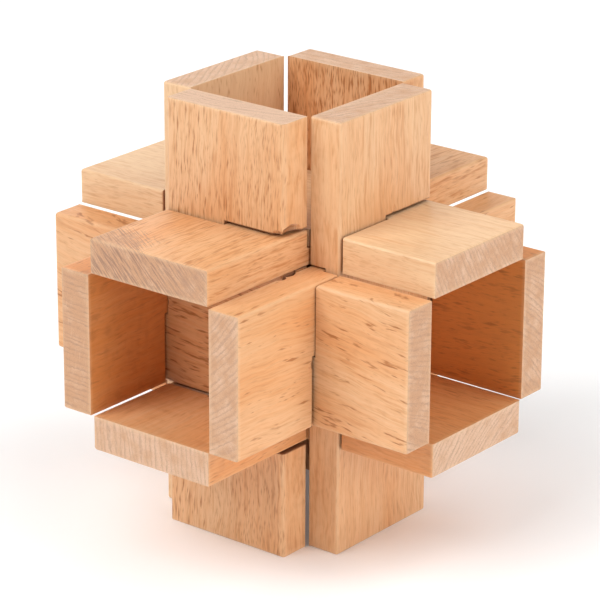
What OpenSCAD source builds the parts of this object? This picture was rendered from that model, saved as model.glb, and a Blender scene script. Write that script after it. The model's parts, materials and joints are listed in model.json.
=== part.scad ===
// Burr puzzle of twelve identical boards.
// Four boards run in each direction and stand round an open square, like the walls of a tube.
// Every board has two slots in one long edge, which take the boards that cross it at right angles,
// and a housing across the middle of one face, where it laps the board that shares its plane.
// The origin is on the ground under the middle of the puzzle, with +Z up. +X is right and +Y is back.

/* [Boards] */
// Length of every board, which is also the size of the puzzle each way
board_length = 75; // [60:1:100]
// Width of every board
board_width = 24.4; // [20:0.2:28]
// Thickness of every board
board_thickness = 6; // [4:0.25:7]
// Width of the small flat that eases every outer edge
eased_edge = 0.4; // [0.2:0.1:0.8]

/* [Joints] */
// Gap between the edge of a board and the inner face of the board beside it
corner_gap = 0.4; // [0.4:0.1:1]
// Room on each side of a board in the slot that it sits in
slot_play = 0.3; // [0.2:0.05:0.35]
// Room at the bottom of a slot, and between two boards that lap
depth_play = 0.1; // [0.05:0.05:0.3]
// Room at each end of a housing for the board that laps it
lap_play = 0.3; // [0.3:0.05:0.4]
// How far the looser boards have settled away from the middle of their play, at most
settled = 0.2; // [0:0.05:0.2]

/* [Hidden] */
// Distance from the middle of the puzzle to a board's inner face, and to its middle plane
inner_face = board_width / 2 + corner_gap;
mid_plane = inner_face + board_thickness / 2;
// Distance from the middle of a board to where its slots start, and their width and depth
slot_start = inner_face - slot_play;
slot_width = board_thickness + 2 * slot_play;
slot_depth = board_width / 2 + depth_play;
// Half the length of the housing, and its depth
housing_reach = board_width / 2 + lap_play;
housing_depth = board_thickness / 2 + depth_play;
// How far a cut runs past the surface that it opens
past = 1;
WOOD = "burlywood";

// Rectangle with its corners cut off by the eased edge, centred on the origin
module eased_rectangle(w, h) {
    x = w / 2;
    y = h / 2;
    e = eased_edge;
    polygon([
        [x - e, -y], [x, e - y], [x, y - e], [x - e, y],
        [e - x, y], [-x, y - e], [-x, e - y], [e - x, -y]
    ]);
}

// Board before its joints are cut: length along Z, width along X and thickness along Y
module blank() {
    intersection() {
        linear_extrude(board_length, center = true) eased_rectangle(board_width, board_thickness);
        rotate([90, 0, 0])
            linear_extrude(board_thickness, center = true) eased_rectangle(board_width, board_length);
        rotate([90, 0, 90])
            linear_extrude(board_width, center = true) eased_rectangle(board_thickness, board_length);
    }
}

// Finished board: its slots open towards +X, and its housing is in the face towards +Y
module board() {
    difference() {
        blank();
        for (end = [-1, 1])
            translate([board_width / 2 - slot_depth, -board_thickness, end * mid_plane - slot_width / 2])
                cube([slot_depth + past, 2 * board_thickness, slot_width]);
        translate([-board_width, board_thickness / 2 - housing_depth, -housing_reach])
            cube([2 * board_width, housing_depth + past, 2 * housing_reach]);
    }
}

// Board turned into its direction, with its middle at a place measured from the puzzle's middle
module placed_board(turn, at) {
    color(WOOD)
        translate([0, 0, board_length / 2]) translate(at) rotate(turn) board();
}

// Boards that run up and down
module upright_front() { placed_board([180, 0, 0], [0, -mid_plane, 0]); }
module upright_back() { placed_board([180, 0, 0], [0, mid_plane, 0]); }
module upright_left() { placed_board([180, 0, 90], [-mid_plane, 0, 0]); }
module upright_right() { placed_board([0, 0, 90], [mid_plane, 0, 0]); }

// Boards that run from side to side
module crosswise_front() { placed_board([0, -90, 0], [-settled, -mid_plane, 0]); }
module crosswise_back() { placed_board([0, -90, 0], [settled, mid_plane - settled, -settled / 2]); }
module crosswise_top() { placed_board([-90, 0, -90], [0, settled / 2, mid_plane - settled]); }
module crosswise_bottom() { placed_board([90, 0, -90], [settled / 2, settled, settled - mid_plane]); }

// Boards that run from front to back
module lengthwise_left() { placed_board([0, 90, 90], [-mid_plane, -settled, -settled / 2]); }
module lengthwise_right() { placed_board([0, 90, -90], [mid_plane, -settled, 0]); }
module lengthwise_top() { placed_board([90, 0, 180], [0, 0, mid_plane - settled]); }
module lengthwise_bottom() { placed_board([-90, 0, 180], [-settled / 2, settled, settled - mid_plane]); }

upright_front();
upright_back();
upright_left();
upright_right();
crosswise_front();
crosswise_back();
crosswise_top();
crosswise_bottom();
lengthwise_left();
lengthwise_right();
lengthwise_top();
lengthwise_bottom();
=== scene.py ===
"""Beech burr puzzle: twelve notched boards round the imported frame, and the pale stage that they stand on.

Every board has the same shape. It is modelled once, lying along Z with its slots towards +X and its housing
towards +Y, and each copy is then worn and nicked a little, and turned into its place in the frame.
All lengths are in metres, and the wood's pattern is worked out in millimetres.
"""

import json
import math
import random
from typing import NamedTuple

import bpy
from bpy.props import FloatProperty, FloatVectorProperty, IntProperty, PointerProperty
from mathutils import Euler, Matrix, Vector


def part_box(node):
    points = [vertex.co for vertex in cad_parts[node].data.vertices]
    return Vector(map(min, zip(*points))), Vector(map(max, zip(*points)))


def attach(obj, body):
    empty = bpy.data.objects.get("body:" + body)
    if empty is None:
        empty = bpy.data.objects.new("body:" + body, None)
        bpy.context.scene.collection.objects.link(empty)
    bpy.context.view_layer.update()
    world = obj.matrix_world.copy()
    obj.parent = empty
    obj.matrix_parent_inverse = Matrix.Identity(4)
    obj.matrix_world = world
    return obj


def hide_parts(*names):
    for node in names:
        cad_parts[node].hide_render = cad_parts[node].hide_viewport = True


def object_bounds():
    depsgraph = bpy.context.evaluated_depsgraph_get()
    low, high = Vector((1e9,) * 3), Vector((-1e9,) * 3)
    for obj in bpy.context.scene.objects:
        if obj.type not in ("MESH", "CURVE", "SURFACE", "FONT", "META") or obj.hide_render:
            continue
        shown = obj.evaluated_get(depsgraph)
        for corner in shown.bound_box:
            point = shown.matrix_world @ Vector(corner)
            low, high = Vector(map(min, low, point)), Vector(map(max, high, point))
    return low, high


bl_info = {
    "name": "Beech burr puzzle",
    "version": (1, 0, 0),
    "blender": (4, 5, 0),
    "location": "3D View > Sidebar > Burr",
    "description": "Builds the boards of a beech burr puzzle in its frame, and the stage it stands on",
    "category": "Add Mesh",
}

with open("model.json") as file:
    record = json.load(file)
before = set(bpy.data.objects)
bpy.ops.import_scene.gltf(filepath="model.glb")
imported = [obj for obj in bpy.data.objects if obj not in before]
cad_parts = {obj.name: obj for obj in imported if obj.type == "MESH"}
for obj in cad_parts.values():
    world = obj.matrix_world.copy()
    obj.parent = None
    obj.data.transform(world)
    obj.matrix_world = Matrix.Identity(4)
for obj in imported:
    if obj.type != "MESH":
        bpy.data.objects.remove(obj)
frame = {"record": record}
CAD_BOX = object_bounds()
MM = 0.001


class Board(NamedTuple):
    """How one board lies in the puzzle, and how it was sawn from the log."""

    turn: tuple  # degrees about X, Y and Z that take the modelled board into its direction
    rings: float  # degrees from the board's width to the line that crosses the growth rings
    slope: float  # degrees that the grain runs off the length, across the width
    tone: float  # 0 for pale wood and 1 for warm wood
    paleness: float  # 0 for grey ends and 1 for pale ends
    grain: float  # strength of the fine strokes along the grain
    flecks: float  # strength of the ray flecks
    crowding: float  # share of the places for a ray fleck that are filled
    streaks: float  # strength of the long dark streaks
    seed: int  # where in the log it was, and where it is worn
    rubbed: tuple = ((), 0)  # an edge rounded by handling: the signs of its place, and share of the rounding
    torn: tuple = ()  # larger torn spots: their middles and sizes, in millimetres on the modelled board
    frayed: tuple = ()  # where the sanding left rough fibres: middle and radius, in the same way


# Each row gives its values in the order that Board lists them
UPRIGHTS = {
    "upright_front": Board(
        (180, 0, 0), 78, 2, 0.42, 2.0, 0.55, 1.0, 0.9, 0.1, 11, rubbed=((1, 1, 0), 1.0),
        torn=(((12.6, 1.0, -18.9), (1.5, 2.6, 1.6)), ((11.4, 3.3, -18.9), (1.7, 0.9, 0.9)))),
    "upright_back": Board((180, 0, 0), 84, -2, 0.45, 0.7, 0.6, 1.9, 0.9, 0.3, 12),
    "upright_left": Board((180, 0, 90), 60, 1, -0.15, 0.8, 0.1, 1.0, 0.2, 0.1, 13),
    "upright_right": Board((0, 0, 90), 66, 0, 0.34, 0.7, 0.5, 0.5, 0.4, 0.15, 14),
}
CROSSWISE = {
    "crosswise_front": Board(
        (0, -90, 0), 24, -7, 0.5, 0.2, 0.4, 0.3, 0.5, 1.8, 21, rubbed=((1, -1, 0), 0.65)),
    "crosswise_back": Board((0, -90, 0), 40, 3, 1.45, 0.3, 0.25, 1.3, 0.5, 1.1, 22),
    "crosswise_top": Board((-90, 0, -90), 30, 2, -0.06, 0.4, 0.25, 0.4, 0.2, 0.25, 23),
    "crosswise_bottom": Board((90, 0, -90), 52, 1, 0.8, 0.8, 0.35, 0.7, 0.5, 0.3, 24),
}
LENGTHWISE = {
    "lengthwise_left": Board((0, 90, 90), 6, 2, 1.0, 0.0, 0.3, 1.9, 0.6, 0.8, 31),
    "lengthwise_right": Board(
        (0, 90, -90), 45, 2, 0.48, 0.4, 0.3, 1.5, 0.09, 0.1, 32,
        torn=(((-12, -3, 19.6), (0.5, 0.8, 1.2)), ((-11.9, -3, 17.2), (0.5, 0.7, 1.6)))),
    "lengthwise_top": Board(
        (90, 0, 180), -45, 1, 0.54, 0.1, 0.8, 0.9, 0.5, 0.3, 33, frayed=((9, 3, -37.5), 7.5)),
    "lengthwise_bottom": Board((-90, 0, 180), 3, 0, 0.65, 0.7, 0.35, 1.0, 0.2, 0.3, 34),
}


def node_size(name):
    """Size of a board of the frame along X, Y and Z."""
    low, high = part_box(name)
    return high - low


def node_centre(name):
    """Middle of a board of the frame."""
    low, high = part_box(name)
    return (low + high) / 2


BOARD_SIZE = node_size("upright_front")
MID_PLANE = abs(node_centre("upright_front").y)
MIDDLE = Vector((0, 0, (CAD_BOX[0].z + CAD_BOX[1].z) / 2))


class BoardSettings(bpy.types.PropertyGroup):
    """Sizes of every board and of its joints."""

    length: FloatProperty(
        name="Length", description="Length of a board", default=BOARD_SIZE.z, unit="LENGTH")
    width: FloatProperty(
        name="Width", description="Width of a board", default=BOARD_SIZE.x, unit="LENGTH")
    thickness: FloatProperty(
        name="Thickness", description="Thickness of a board", default=BOARD_SIZE.y, unit="LENGTH")
    crossing: FloatProperty(
        name="Crossing", description="From the middle of a board to the middle of each slot",
        default=MID_PLANE, unit="LENGTH")
    side_play: FloatProperty(
        name="Side play", description="Room on each side of a board in its slot",
        default=0.3 * MM, unit="LENGTH")
    depth_play: FloatProperty(
        name="Depth play", description="Room at the bottom of slots and housings",
        default=0.1 * MM, unit="LENGTH")
    lap_play: FloatProperty(
        name="Lap play", description="Room at each end of a housing for the board that laps it",
        default=0.3 * MM, unit="LENGTH")
    rounding: FloatProperty(
        name="Rounding", description="How far a well rubbed edge is rounded over",
        default=1.5 * MM, unit="LENGTH")
    saw_rounding: FloatProperty(
        name="Saw rounding", description="How far the edges of the slots are rounded",
        default=0.14 * MM, unit="LENGTH")
    nicks: IntProperty(
        name="Nicks", description="Torn spots along the sawn edges of a board", default=9, min=0)


class WoodSettings(bpy.types.PropertyGroup):
    """Colours of the beech, and the dark colour that is painted into its joints as shade."""

    pale: FloatVectorProperty(
        name="Pale wood", description="Colour of the palest boards", subtype="COLOR",
        default=(0.82, 0.56, 0.33))
    warm: FloatVectorProperty(
        name="Warm wood", description="Colour of the warmest boards", subtype="COLOR",
        default=(0.71, 0.27, 0.07))
    stroke: FloatVectorProperty(
        name="Grain strokes", description="Colour of the darker strokes along the grain",
        subtype="COLOR", default=(0.56, 0.225, 0.07))
    fleck: FloatVectorProperty(
        name="Ray flecks", description="Colour of the short dark flecks along the grain",
        subtype="COLOR", default=(0.42, 0.155, 0.045))
    end: FloatVectorProperty(
        name="End grain", description="Colour of the sawn ends", subtype="COLOR",
        default=(0.57, 0.315, 0.175))
    end_pale: FloatVectorProperty(
        name="Pale end grain", description="Colour of the palest patches on the sawn ends",
        subtype="COLOR", default=(0.70, 0.46, 0.31))
    end_line: FloatVectorProperty(
        name="Ring lines", description="Colour of the growth rings on the sawn ends",
        subtype="COLOR", default=(0.33, 0.18, 0.115))
    # Painted shade: this dark colour darkens the faces inside the slots and housing, and a line along the
    # slots' edges, in place of the shade in the joints between boards.
    sawn: FloatVectorProperty(
        name="Sawn wood", description="Colour that the saw leaves in the slots", subtype="COLOR",
        default=(0.20, 0.07, 0.025))
    ring_spacing: FloatProperty(
        name="Ring spacing", description="Distance between growth rings", default=1.8 * MM,
        unit="LENGTH")


class StageSettings(bpy.types.PropertyGroup):
    """Floor, lights and camera."""

    floor: FloatVectorProperty(
        name="Floor", description="Colour of the floor", subtype="COLOR", default=(0.93, 0.93, 0.93))
    floor_size: FloatProperty(
        name="Floor size", description="Length and width of the floor", default=6, unit="LENGTH")
    glow: FloatProperty(
        name="Glow", description="Light that the floor gives off, which softens its shadows", default=0.10)
    sky: FloatProperty(
        name="Sky", description="Strength of the even light from all round", default=0.1)
    lamps: FloatProperty(
        name="Lamps", description="Power of all the soft lights together, in watts", default=52)
    lamp_size: FloatProperty(
        name="Lamp size", description="Width of each soft light", default=1.0, unit="LENGTH")
    lamp_distance: FloatProperty(
        name="Lamp distance", description="From each soft light to the middle of the puzzle",
        default=1.6, unit="LENGTH")
    azimuth: FloatProperty(
        name="Azimuth", description="Camera's angle round the puzzle", subtype="ANGLE",
        default=math.radians(38.57))
    elevation: FloatProperty(
        name="Elevation", description="Camera's angle above the ground", subtype="ANGLE",
        default=math.radians(20.47))
    roll: FloatProperty(
        name="Roll", description="Camera's turn about its own line of sight", subtype="ANGLE",
        default=math.radians(0.26))
    distance: FloatProperty(
        name="Distance", description="From the camera to the middle of the puzzle",
        default=0.5223, unit="LENGTH")
    lens: FloatProperty(
        name="Lens", description="Camera's focal length, in millimetres", default=186.5)
    aside: FloatVectorProperty(
        name="Aside", description="How far the camera stands to the right of the middle and above it",
        size=2, default=(0.6 * MM, -0.1 * MM), unit="LENGTH")


# ---------------------------------------------------------------- shader maths


class Number:
    """A number inside a material: arithmetic on it adds the Math nodes."""

    def __init__(self, graph, output):
        self.graph = graph
        self.output = output

    def __add__(self, other):
        return self.graph.math("ADD", self, other)

    __radd__ = __add__

    def __sub__(self, other):
        return self.graph.math("SUBTRACT", self, other)

    def __rsub__(self, other):
        return self.graph.math("SUBTRACT", other, self)

    def __mul__(self, other):
        return self.graph.math("MULTIPLY", self, other)

    __rmul__ = __mul__

    def __truediv__(self, other):
        return self.graph.math("DIVIDE", self, other)

    def __abs__(self):
        return self.graph.math("ABSOLUTE", self)


class Graph:
    """The node tree of a material or of the world, emptied first."""

    def __init__(self, owner):
        owner.use_nodes = True
        self.tree = owner.node_tree
        self.tree.nodes.clear()

    def node(self, kind, settings=None, sockets=None):
        """Adds a node, and returns its outputs in order."""
        new = self.tree.nodes.new("ShaderNode" + kind)
        for key, value in (settings or {}).items():
            setattr(new, key, value)
        for key, value in (sockets or {}).items():
            if isinstance(value, Number):
                self.tree.links.new(value.output, new.inputs[key])
            else:
                new.inputs[key].default_value = value
        return [Number(self, output) for output in new.outputs]

    def math(self, operation, *terms):
        """Adds a Math node."""
        return self.node("Math", {"operation": operation}, dict(enumerate(terms)))[0]

    def ramp(self, value, low, high):
        """Rises smoothly from 0 where value is low to 1 where it is high."""
        settings = {"interpolation_type": "SMOOTHSTEP"}
        return self.node("MapRange", settings, {0: value, 1: low, 2: high, 3: 0.0, 4: 1.0})[0]

    def vector(self, x, y, z):
        """Makes a vector of three numbers."""
        return self.node("CombineXYZ", None, {0: x, 1: y, 2: z})[0]

    def parts(self, vector):
        """Splits a vector into its three numbers."""
        return self.node("SeparateXYZ", None, {0: vector})

    def noise(self, vector, scale=1.0, detail=2.0, roughness=0.5):
        """Noise about 0, from -0.5 to 0.5."""
        sockets = {"Vector": vector, "Scale": scale, "Detail": detail, "Roughness": roughness}
        return self.node("TexNoise", None, sockets)[0] - 0.5

    def mix(self, factor, first, second):
        """Mixes two colours, each a colour or a link."""
        first, second = (c if isinstance(c, Number) else (*c, 1.0) for c in (first, second))
        return self.node("Mix", {"data_type": "RGBA"}, {0: factor, 6: first, 7: second})[2]


# ---------------------------------------------------------------- wood


# Size of each pattern in the wood, in millimetres: out along a ray, round a ring, and up the trunk
FIBRES = (0.55, 0.30, 15)
VESSELS = (0.22, 0.16, 2.6)
GRIT = (0.16, 0.16, 0.16)
CLOUDS = (9, 9, 40)
BANDS = (0.9, 0.38, 6.0)
STREAKS = (0.55, 3.2, 3.8)
PATCHES = (4.5, 1.2, 1.6)
LARGE_RAYS = (7.0, 0.46, 3.9)
SMALL_RAYS = (4.0, 0.27, 2.1)
BROKEN_RINGS = (0.5, 1.3, 1)
BLOTCHES = (2.2, 3.0, 1)
RAY_LINES = (3.0, 0.22, 1)
# How far up the trunk the small ray flecks are moved, so that they don't match the large ones
SMALL_RAY_LIFT = 31.7
# Distance from a board to the heart of the log, which gives its growth rings their bow, in millimetres
HEART_DISTANCE = 55
# How fast the grain's slow wandering and its ripple change across, through and along a board, for each
# millimetre, and how far they move the grain, in millimetres
WANDER_RATE = (0.022, 0.022, 0.014)
RIPPLE_RATE = (0.10, 0.10, 0.17)
WANDER = 5.0
DEEP_WANDER = 2.5
RIPPLE = 1.1
# Ring lines on an end for each growth ring in the board
END_LINES = 1.9


class Log(NamedTuple):
    """Where each point of a board was in the log, in millimetres."""

    radial: Number  # out along a ray
    tangent: Number  # round a ring
    along: Number  # up the trunk

    def scaled(self, g, size):
        """The same place, counted in patterns of a size."""
        return g.vector(self.radial / size[0], self.tangent / size[1], self.along / size[2])

    def noise(self, g, size, detail, roughness=0.5):
        """Noise of a size, from -0.5 to 0.5."""
        return g.noise(self.scaled(g, size), detail=detail, roughness=roughness)


class Marks(NamedTuple):
    """Patterns that more than one part of the wood's look uses."""

    fibre: Number  # fine fibres along the grain
    vessel: Number  # short strokes where the vessels are cut open
    grit: Number  # specks with no direction
    cloud: Number  # slow change of tone
    blotch: Number  # pale and dark patches on the ends
    large_ray: Number  # long ray flecks
    small_ray: Number  # short ray flecks


def log_place(g, board, place, shift):
    """Finds where each point of a board was in the log. The grain wanders, and slopes off the length."""
    x, y, z = place
    rate = WANDER_RATE
    slow = g.vector(x * rate[0] + shift[0], y * rate[1] + shift[1], z * rate[2] + shift[2])
    wander = g.noise(slow, detail=1.5)
    rate = RIPPLE_RATE
    ripple = g.noise(g.vector(x * rate[0] + shift[0], y * rate[1], z * rate[2] + shift[2]), detail=1.0)
    across = x + z * math.tan(math.radians(board.slope)) + WANDER * wander + RIPPLE * ripple
    through = y + DEEP_WANDER * g.noise(slow, scale=1.7, detail=1.0)
    angle = math.radians(board.rings)
    round_ring = through * math.cos(angle) - across * math.sin(angle)
    bow = round_ring * round_ring / (2 * HEART_DISTANCE)
    radial = across * math.cos(angle) + through * math.sin(angle) + bow + shift[0]
    return Log(radial, round_ring + shift[1], z + shift[2])


def spindles(g, log, size, width, keep):
    """Ray flecks: pointed spindles, scattered through the wood. keep is the share of them left in."""
    settings = {"feature": "F1", "distance": "MANHATTAN"}
    cell = log.scaled(g, size)
    distance, colour = g.node("TexVoronoi", settings, {"Vector": cell, "Scale": 1.0})[:2]
    chance, strength, _ = g.parts(colour)
    present = g.ramp(chance, 1 - keep, 1 - 0.6 * keep)
    shape = 1 - g.ramp(distance, 0.45 * width, width)
    return shape * present * (0.45 + 0.55 * strength)


def side_grain(g, board, log, marks, along_rings, uneven, settings):
    """Colour of the faces that run with the grain."""
    spacing = settings.ring_spacing / MM
    phase = g.math("FRACT", log.radial / spacing + uneven)
    darkest_last = g.ramp(phase, 0.20, 0.90) * (1 - g.ramp(phase, 0.90, 1.0))
    warmth = board.tone + 0.9 * marks.cloud + 0.55 * marks.fibre
    wood = g.mix(g.ramp(warmth, -0.25, 1.25), settings.pale, settings.warm)
    wood = g.mix(0.09 * darkest_last * (0.7 + marks.fibre), wood, settings.fleck)

    # Broader strokes of darker fibres, which break up and run on again, and the vessels' short fine strokes
    band = log.noise(g, BANDS, 2.5, 0.65)
    grain_stroke = g.ramp(band + 0.35 * marks.fibre, -0.04, 0.22)
    wood = g.mix(board.grain * grain_stroke, wood, settings.stroke)
    wood = g.mix(0.34 * g.ramp(marks.vessel, 0.0, 0.32), wood, settings.fleck)
    wave = log.noise(g, STREAKS, 2.0, 0.55)
    streak = g.ramp(wave + 0.25 * marks.cloud, 0.08, 0.22)
    wood = g.mix(0.55 * board.streaks * streak, wood, settings.fleck)

    # Rays are dark flecks on faces along the rings, and faint broad patches on faces across them
    contrast = 0.18 + 0.82 * g.ramp(along_rings, 0.25, 0.95)
    ray = (marks.large_ray + 0.75 * marks.small_ray) * contrast * (0.9 * board.flecks)
    wood = g.mix(g.math("MINIMUM", ray, 0.9), wood, settings.fleck)
    patch = g.ramp(log.noise(g, PATCHES, 1.0), 0.0, 0.3)
    return g.mix(0.16 * patch * (1 - along_rings), wood, settings.fleck)


def end_grain(g, board, log, marks, uneven, settings):
    """Colour of the ends: grey pink, with broken ring lines, pale rays and open pores."""
    spacing = settings.ring_spacing / MM
    broken = log.noise(g, BROKEN_RINGS, 2.5, 0.65)
    phase = g.math("FRACT", END_LINES * log.radial / spacing + 2.8 * uneven + 0.85 * broken)
    line = g.ramp(phase, 0.45, 0.9) * (1 - g.ramp(phase, 0.92, 1.0))
    blotch = marks.blotch
    wood = g.mix(g.ramp(blotch + 0.4 * board.paleness, -0.05, 0.5), settings.end, settings.end_pale)
    strength = g.math("MAXIMUM", 0.30 + 1.1 * blotch + 0.8 * broken, 0.06)
    wood = g.mix(line * strength, wood, settings.end_line)
    ray_line = log.noise(g, RAY_LINES, 1.0)
    wood = g.mix(0.35 * g.ramp(ray_line, 0.10, 0.3), wood, settings.end_pale)
    return g.mix(0.6 * g.ramp(marks.grit, 0.02, 0.3), wood, settings.end_line)


def fray(g, frayed, place, marks, end, end_wood, settings):
    """Scratches an end, and runs its look a little way over the edges in rough fibres."""
    x, y, z = place
    middle, radius = frayed
    apart = g.node("VectorMath", {"operation": "DISTANCE"}, {0: g.vector(x, y, z), 1: middle})[1]
    lines = g.vector((x - y - 1.6 * z) / 0.42, (x + y) / 5, z / 7)
    scratch = g.noise(lines, detail=2.5, roughness=0.65)
    ragged = 0.9 * marks.fibre + 0.9 * marks.grit + 0.5 * marks.blotch
    patch = 1 - g.ramp(apart / radius + 0.9 * ragged - 1.6 * scratch, 0.6, 1.0)
    near = 1 - g.ramp(apart / radius, 1.2, 2.8)
    scratched = (0.30 + 0.60 * near) * g.ramp(scratch, -0.04, 0.12)
    return g.math("MAXIMUM", end, 0.85 * patch), g.mix(scratched, end_wood, settings.end_line)


def pale_edges_and_joint_shade(g, wood, place, marks, settings):
    """Makes the outer corners a little paler, partly as wear and partly as a painted highlight, and paints
    the faces inside the slots and housing, and a line along the slots' edges, darker as shade.
    """
    model = bpy.context.scene.burr_board
    sizes = (model.width, model.thickness, model.length)
    gaps = [size / MM / 2 - abs(p) for size, p in zip(sizes, place)]
    low = g.math("MINIMUM", gaps[0], gaps[1])
    high = g.math("MAXIMUM", gaps[0], gaps[1])
    corner = g.math("MAXIMUM", low, g.math("MINIMUM", high, gaps[2]))
    # Paler near the outer corners: partly wear on the rounded edges, partly a painted highlight along them.
    rubbed = 1 - g.ramp(corner + 0.5 * marks.cloud, 0.15, 0.8)
    wood = g.mix(0.22 * rubbed, wood, settings.pale)

    # Painted shade: faces inside the slots and housing, away from the outer faces, are darkened towards the
    # dark joint colour, in place of the shade in the joints.
    depth = g.math("MINIMUM", low, gaps[2])
    wood = g.mix(0.6 * g.ramp(depth + 0.3 * marks.fibre, 0.35, 0.8), wood, settings.sawn)
    # Painted shade: a dark line on the slotted side, where each slot's walls meet the board's faces, in
    # place of the shade along the joints between boards.
    reach = (model.thickness / 2 + model.side_play) / MM
    from_slot = abs(abs(place[2]) - model.crossing / MM) - reach
    slot_edge_shade = (1 - g.ramp(from_slot + 0.15 * marks.grit, 0.04, 0.24)) * g.ramp(place[0], -0.3, 0.0)
    return g.mix(0.7 * slot_edge_shade, wood, settings.sawn), rubbed


def beech(name, board, settings):
    """Solid beech, sawn from the log as the board says."""
    material = bpy.data.materials.new("beech_" + name)
    g = Graph(material)
    spot = random.Random(board.seed)
    shift = [spot.uniform(-400, 400) for _ in range(3)]

    # Place on the modelled board, in millimetres, and the way that the surface faces on it
    turn = [math.radians(a) for a in board.turn]
    to_board = {"vector_type": "TEXTURE"}
    _, normal, _, point = g.node("TexCoord")[:4]
    sockets = {"Vector": point, "Location": node_centre(name), "Rotation": turn, "Scale": (MM,) * 3}
    place = g.parts(g.node("Mapping", to_board, sockets)[0])
    nx, ny, nz = g.parts(g.node("Mapping", to_board, {"Vector": normal, "Rotation": turn})[0])

    log = log_place(g, board, place, shift)
    keep = board.crowding
    lifted = log._replace(along=log.along + SMALL_RAY_LIFT)
    marks = Marks(
        fibre=log.noise(g, FIBRES, 3.0, 0.6),
        vessel=log.noise(g, VESSELS, 1.5),
        grit=log.noise(g, GRIT, 1.0),
        cloud=log.noise(g, CLOUDS, 2.0),
        blotch=log.noise(g, BLOTCHES, 3.0, 0.6),
        large_ray=spindles(g, log, LARGE_RAYS, 0.64, 0.85 * keep),
        small_ray=spindles(g, lifted, SMALL_RAYS, 0.62, keep),
    )
    slow_rings = g.vector(log.radial * 0.35, log.tangent * 0.05, log.along * 0.01)
    uneven = 1.1 * g.noise(slow_rings, detail=1.5)
    angle = math.radians(board.rings)
    along_rings = abs(nx * math.cos(angle) + ny * math.sin(angle))

    end = g.ramp(abs(nz), 0.55, 0.9)
    side_wood = side_grain(g, board, log, marks, along_rings, uneven, settings)
    end_wood = end_grain(g, board, log, marks, uneven, settings)
    if board.frayed:
        end, end_wood = fray(g, board.frayed, place, marks, end, end_wood, settings)
    wood, rubbed = pale_edges_and_joint_shade(g, g.mix(end, side_wood, end_wood), place, marks, settings)

    height = 0.5 * marks.fibre + 0.35 * marks.vessel - 0.5 * marks.large_ray
    height = height - 0.25 * marks.small_ray + 0.3 * marks.grit * end
    bump = g.node("Bump", None, {"Strength": 0.55, "Distance": 0.06 * MM, "Height": height})[0]
    rough = 0.50 + 0.10 * marks.fibre + 0.14 * end - 0.08 * rubbed
    surface = g.node("BsdfPrincipled", None, {"Base Color": wood, "Roughness": rough, "Normal": bump})[0]
    g.node("OutputMaterial", None, {"Surface": surface})
    return material


# ---------------------------------------------------------------- modelling


# A point this close to a plane lies on it
CLOSE = 0.01 * MM
# Least rounding of an edge round the outer face, and of any other outer edge, as a share of a rubbed edge's
OUTSIDE_WEAR = 0.32
INSIDE_WEAR = 0.06
# The most rounded of them are rounded this many times as far as the least
UNEVEN_WEAR = 1.6
# Smallest and largest half size of a nick across the board, through it and along it, in millimetres
NICK_SIZES = ((0.25, 0.8), (0.15, 0.35), (0.5, 1.7))


def only(item):
    """Leaves just one object selected, and active."""
    bpy.ops.object.select_all(action="DESELECT")
    item.select_set(True)
    bpy.context.view_layer.objects.active = item


def settle(item):
    """Puts an object's place, turn and scale into its mesh."""
    only(item)
    bpy.ops.object.transform_apply(location=True, rotation=True, scale=True)
    return item


def block(name, low, high):
    """Rectangular block between two corners."""
    low, high = Vector(low), Vector(high)
    bpy.ops.object.select_all(action="DESELECT")
    bpy.ops.mesh.primitive_cube_add(size=1, location=(low + high) / 2, scale=high - low)
    item = bpy.context.active_object
    item.name = name
    return settle(item)


def apply(item, kind, **settings):
    """Adds a modifier and applies it."""
    only(item)
    modifier = item.modifiers.new(kind.title(), kind)
    for key, value in settings.items():
        setattr(modifier, key, value)
    bpy.ops.object.modifier_apply(modifier=modifier.name)


def carve(item, cutter):
    """Cuts one object out of another and removes it."""
    apply(item, "BOOLEAN", operation="DIFFERENCE", solver="EXACT", object=cutter)
    bpy.data.objects.remove(cutter)


def copy_of(item, name):
    """Copy of an object with a mesh of its own."""
    twin = item.copy()
    twin.data = item.data.copy()
    twin.name = twin.data.name = name
    bpy.context.collection.objects.link(twin)
    return twin


def master_board(settings):
    """The board before it is worn: a plain board with its two slots and its housing cut."""
    length, width, thickness = settings.length, settings.width, settings.thickness
    past = 2 * MM
    board = block("board", (-width / 2, -thickness / 2, -length / 2), (width / 2, thickness / 2, length / 2))
    reach = thickness / 2 + settings.side_play
    for end in (-1, 1):
        middle = end * settings.crossing
        low = (-settings.depth_play, -thickness, middle - reach)
        carve(board, block("slot", low, (width / 2 + past, thickness, middle + reach)))
    half = width / 2 + settings.lap_play
    low = (-width, -settings.depth_play, -half)
    carve(board, block("housing", low, (width, thickness / 2 + past, half)))
    return board


def wear(board, settings, rubbed, outside, dice):
    """Rounds every outer edge by its own amount, most round the outer face, and every sawn edge a little."""
    mesh = board.data
    half = Vector((settings.width, settings.thickness, settings.length)) / 2
    weights = mesh.attributes.new("bevel_weight_edge", "FLOAT", "EDGE")
    rounded = {}
    for edge in mesh.edges:
        ends = [mesh.vertices[v].co for v in edge.vertices]
        outer = [all(abs(abs(p[i]) - half[i]) < CLOSE for p in ends) for i in range(3)]
        if sum(outer) < 2:
            share = settings.saw_rounding / settings.rounding
        else:
            middle = (ends[0] + ends[1]) / 2
            key = tuple(0 if not on else (1 if middle[i] > 0 else -1) for i, on in enumerate(outer))
            if key not in rounded:
                least = OUTSIDE_WEAR if key[1] == outside else INSIDE_WEAR
                if key == rubbed[0]:
                    rounded[key] = rubbed[1]
                else:
                    rounded[key] = dice.uniform(least, UNEVEN_WEAR * least)
            share = rounded[key]
        weights.data[edge.index].value = share
    apply(board, "BEVEL", limit_method="WEIGHT", width=settings.rounding, segments=4, use_clamp_overlap=True)


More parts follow.
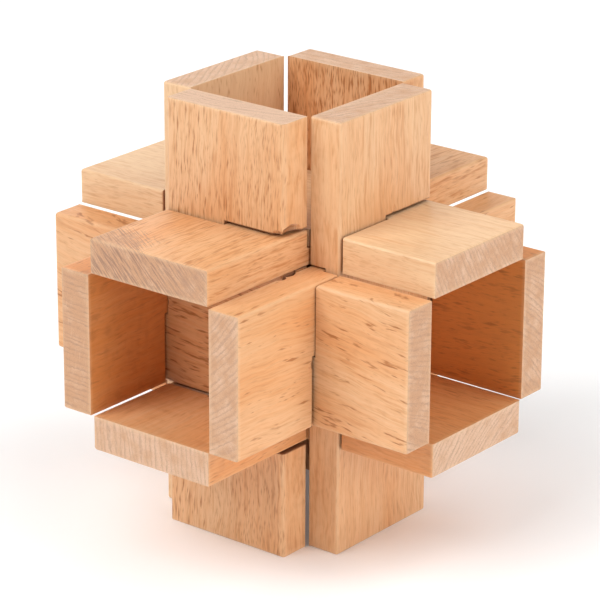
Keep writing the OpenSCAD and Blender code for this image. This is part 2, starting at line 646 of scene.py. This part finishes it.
def tear(board, place, size, dice):
    """Tears a spot out of a board: an uneven hollow, longest along the grain."""
    bpy.ops.object.select_all(action="DESELECT")
    bpy.ops.mesh.primitive_ico_sphere_add(subdivisions=3, radius=1, location=place)
    hollow = bpy.context.active_object
    hollow.scale = size
    settle(hollow)
    bpy.ops.object.mode_set(mode="EDIT")
    bpy.ops.mesh.select_all(action="SELECT")
    bpy.ops.transform.vertex_random(offset=0.12 * min(size), seed=dice.randrange(1000))
    bpy.ops.object.mode_set(mode="OBJECT")
    carve(board, hollow)


def nick(board, settings, torn, dice):
    """Tears a few fibres out along the sawn edges of the slots, and the larger torn spots."""
    reach = settings.thickness / 2 + settings.side_play
    for place, size in torn:
        tear(board, Vector(place) * MM, Vector(size) * MM, dice)
    for _ in range(settings.nicks):
        across = dice.uniform(0.1, 1.0) * settings.width / 2
        face = dice.choice((-1, 1)) * (settings.thickness / 2 + dice.uniform(0.02, 0.12) * MM)
        wall = dice.choice((-1, 1)) * settings.crossing + dice.choice((-1, 1)) * reach
        size = [dice.uniform(*span) * MM for span in NICK_SIZES]
        tear(board, (across, face, wall), size, dice)


def make_boards(boards, context):
    """Builds a group of boards, each from a copy of the same model."""
    settings, wood = context.scene.burr_board, context.scene.burr_wood
    bodies = frame["record"]["behaviour"]["bodies"]
    master = master_board(settings)
    for name, board in boards.items():
        piece = copy_of(master, name + "_board")
        dice = random.Random(board.seed)
        turn = Euler([math.radians(a) for a in board.turn])
        outwards = Vector((0, 1, 0))
        outwards.rotate(turn)
        outside = 1 if outwards.dot(node_centre(name) - MIDDLE) > 0 else -1
        wear(piece, settings, board.rubbed, outside, dice)
        nick(piece, settings, board.torn, dice)
        apply(piece, "WEIGHTED_NORMAL", keep_sharp=True)
        piece.rotation_euler = turn
        piece.location = node_centre(name)
        settle(piece)
        piece.data.materials.clear()
        piece.data.materials.append(beech(name, board, wood))
        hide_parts(name)
        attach(piece, next(body for body, members in bodies.items() if name in members))
    bpy.data.objects.remove(master)


class BURR_OT_uprights(bpy.types.Operator):
    """Make the four boards that stand up and down"""

    bl_idname = "burr.uprights"
    bl_label = "Upright boards"

    def execute(self, context):
        make_boards(UPRIGHTS, context)
        return {"FINISHED"}


class BURR_OT_crosswise(bpy.types.Operator):
    """Make the four boards that lie from side to side"""

    bl_idname = "burr.crosswise"
    bl_label = "Crosswise boards"

    def execute(self, context):
        make_boards(CROSSWISE, context)
        return {"FINISHED"}


class BURR_OT_lengthwise(bpy.types.Operator):
    """Make the four boards that lie from front to back"""

    bl_idname = "burr.lengthwise"
    bl_label = "Lengthwise boards"

    def execute(self, context):
        make_boards(LENGTHWISE, context)
        return {"FINISHED"}


# ---------------------------------------------------------------- stage


def direction(around, up):
    """Unit vector at an angle round the puzzle, from the front towards the right, and above the ground."""
    return Vector((math.sin(around) * math.cos(up), -math.cos(around) * math.cos(up), math.sin(up)))


# Degrees round the puzzle, degrees above the ground, and share of the light
LAMPS = {
    "left_light": (-24, 35, 0.27),
    "left_high_light": (-14, 60, 0.18),
    "right_light": (88, 13, 0.25),
    "right_high_light": (116, 60, 0.20),
    "back_light": (232, 35, 0.13),
}


def soft_light(name, place, target, size, power):
    """Square area light aimed at a point."""
    data = bpy.data.lights.new(name, "AREA")
    data.size = size
    data.energy = power
    light = bpy.data.objects.new(name, data)
    light.location = place
    light.rotation_euler = (Vector(target) - Vector(place)).to_track_quat("-Z", "Y").to_euler()
    bpy.context.collection.objects.link(light)


class BURR_OT_stage(bpy.types.Operator):
    """Make the pale floor, the soft light and the camera"""

    bl_idname = "burr.stage"
    bl_label = "Stage"

    def execute(self, context):
        settings = context.scene.burr_stage
        bpy.ops.object.select_all(action="DESELECT")
        bpy.ops.mesh.primitive_plane_add(size=settings.floor_size)
        floor = context.active_object
        floor.name = "floor"
        paint = bpy.data.materials.new("floor_paint")
        g = Graph(paint)
        colour = (*settings.floor, 1)
        sockets = {"Base Color": colour, "Roughness": 0.9, "Emission Color": colour}
        sockets["Emission Strength"] = settings.glow
        surface = g.node("BsdfPrincipled", None, sockets)[0]
        g.node("OutputMaterial", None, {"Surface": surface})
        floor.data.materials.append(paint)

        # The sky is white where the camera sees it, and gives only a little light
        world = bpy.data.worlds.new("sky")
        g = Graph(world)
        seen = g.node("LightPath")[0]
        strength = g.node("MapRange", None, {0: seen, 3: settings.sky, 4: 1.0})[0]
        surface = g.node("Background", None, {"Color": (1, 1, 1, 1), "Strength": strength})[0]
        g.node("OutputWorld", None, {"Surface": surface})
        context.scene.world = world
        context.scene.view_settings.view_transform = "Standard"

        for name, (around, up, share) in LAMPS.items():
            place = MIDDLE + settings.lamp_distance * direction(math.radians(around), math.radians(up))
            soft_light(name, place, MIDDLE, settings.lamp_size, share * settings.lamps)

        back = direction(settings.azimuth, settings.elevation)
        data = bpy.data.cameras.new("camera")
        data.lens = settings.lens
        camera = bpy.data.objects.new("camera", data)
        context.collection.objects.link(camera)
        look = (-back).to_track_quat("-Z", "Y")
        look = look @ Euler((0, 0, settings.roll)).to_quaternion()
        aside = look @ Vector((*settings.aside, 0))
        camera.location = MIDDLE + aside + back * settings.distance
        camera.rotation_euler = look.to_euler()
        context.scene.camera = camera
        return {"FINISHED"}


class BURR_PT_panel(bpy.types.Panel):
    """Sidebar panel with the settings and the steps"""

    bl_idname = "BURR_PT_panel"
    bl_label = "Beech burr puzzle"
    bl_space_type = "VIEW_3D"
    bl_region_type = "UI"
    bl_category = "Burr"

    def draw(self, context):
        for group in (context.scene.burr_board, context.scene.burr_wood, context.scene.burr_stage):
            box = self.layout.box()
            for key in group.__annotations__:
                box.prop(group, key)
        for step in STEPS:
            self.layout.operator(step.bl_idname)


STEPS = (BURR_OT_stage, BURR_OT_uprights, BURR_OT_crosswise, BURR_OT_lengthwise)
CLASSES = (BoardSettings, WoodSettings, StageSettings, *STEPS, BURR_PT_panel)


def register():
    for item in CLASSES:
        bpy.utils.register_class(item)
    bpy.types.Scene.burr_board = PointerProperty(type=BoardSettings)
    bpy.types.Scene.burr_wood = PointerProperty(type=WoodSettings)
    bpy.types.Scene.burr_stage = PointerProperty(type=StageSettings)


def unregister():
    del bpy.types.Scene.burr_stage
    del bpy.types.Scene.burr_wood
    del bpy.types.Scene.burr_board
    for item in reversed(CLASSES):
        bpy.utils.unregister_class(item)


def main():
    """Builds everything."""
    register()
    bpy.ops.burr.stage()
    bpy.ops.burr.uprights()
    bpy.ops.burr.crosswise()
    bpy.ops.burr.lengthwise()


if __name__ == "__main__":
    main()
